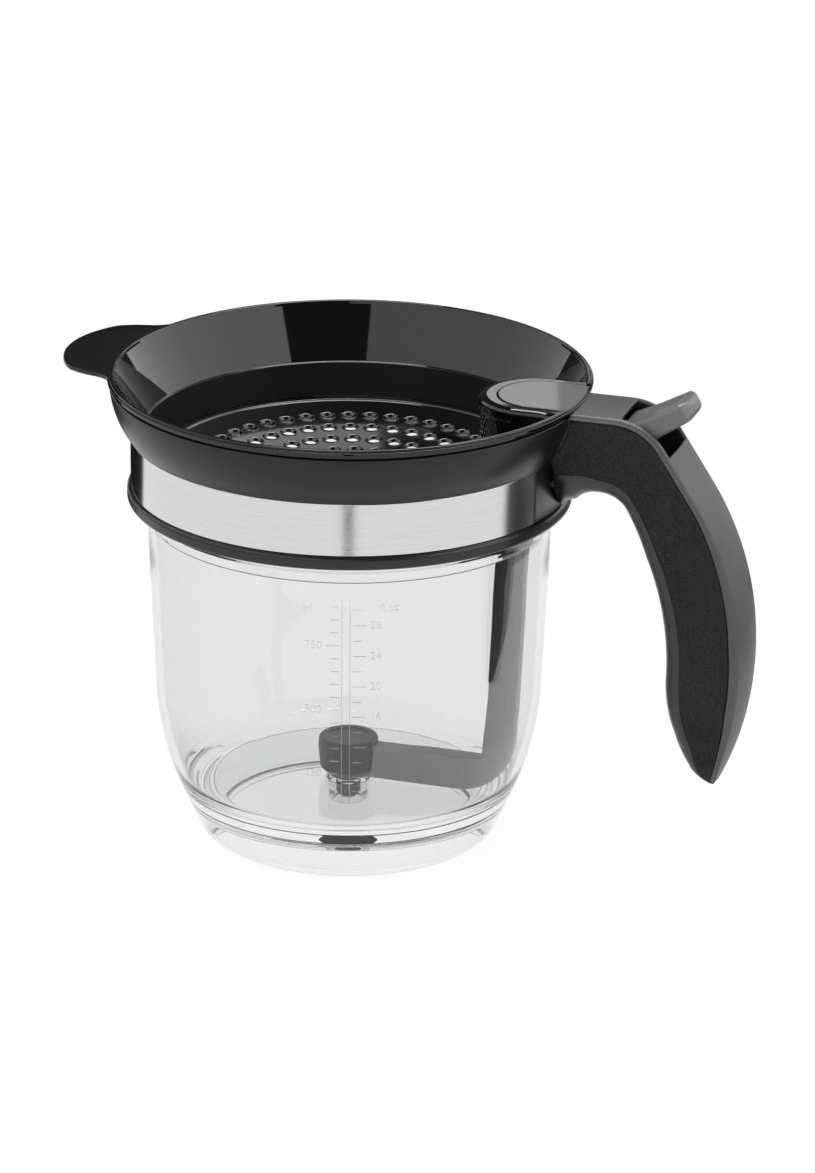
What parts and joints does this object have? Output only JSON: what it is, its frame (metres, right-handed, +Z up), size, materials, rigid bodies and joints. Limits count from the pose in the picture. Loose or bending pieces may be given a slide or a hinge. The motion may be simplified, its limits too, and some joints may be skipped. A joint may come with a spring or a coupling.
{
  "type": "fat separator jug",
  "caption": "Clear measuring jug with a strainer funnel, a curved handle and a thumb lever that lifts a stopper out of the pouring outlet in its floor.",
  "frame": {"origin": "on the beaker's axis, at the surface that it stands on", "axes": "+Z up along the beaker's axis, +X towards the handle, so that the part is the same on both sides of the XZ plane"},
  "size_m": [0.2347, 0.1582, 0.1634],
  "materials": {
    "clear_body": "clear",
    "black_gloss": "gloss",
    "black_satin": "satin",
    "black_matte": "fine texture",
    "grey_satin": "satin",
    "grey_matte": "matte",
    "black_rubber": "matte",
    "brushed_band": "brushed round the band",
    "steel_pin": "bright",
    "spring_steel": "bright"
  },
  "bodies": {
    "jug": {"beaker": "clear_body", "rim_gasket": "black_rubber", "lock_ring": "black_gloss", "collar": "black_gloss", "steel_band": "brushed_band", "handle_shell": "black_matte", "spine_cover": "black_satin", "pivot_pin": "steel_pin", "rod_guide": "black_matte", "handle_screws": "steel_pin", "return_spring": "spring_steel"},
    "insert": {"funnel": "black_gloss", "strainer_plate": "black_satin", "well_cap": "black_gloss"},
    "lever": {"thumb_lever": "grey_satin"},
    "lift": {"lift_arm": "grey_matte", "lift_rod": "black_matte", "cross_pin": "steel_pin", "stopper_hub": "black_satin", "stopper_plug": "black_rubber", "stopper_stem": "steel_pin"}
  },
  "joints": [
    {"name": "lever_press", "type": "hinge", "parent": "jug", "child": "lever", "pos_m": [0.092, 0, 0.1454], "axis": [0, 1, 0], "range_deg": [0, 13], "stiffness_Nm_per_rad": 0.1, "springref_deg": -3.44},
    {"name": "stopper_lift", "type": "slide", "parent": "jug", "child": "lift", "axis": [0, 0, 1], "range_m": [0, 0.0082], "deforming": ["return_spring"]},
    {"name": "insert_lift_off", "type": "slide", "parent": "jug", "child": "insert", "axis": [0, 0, 1], "range_m": [0, 0.06]}
  ],
  "couplings": [
    {"joint": "lever_press", "follows": "stopper_lift", "rad_per_m": 27.656}
  ]
}
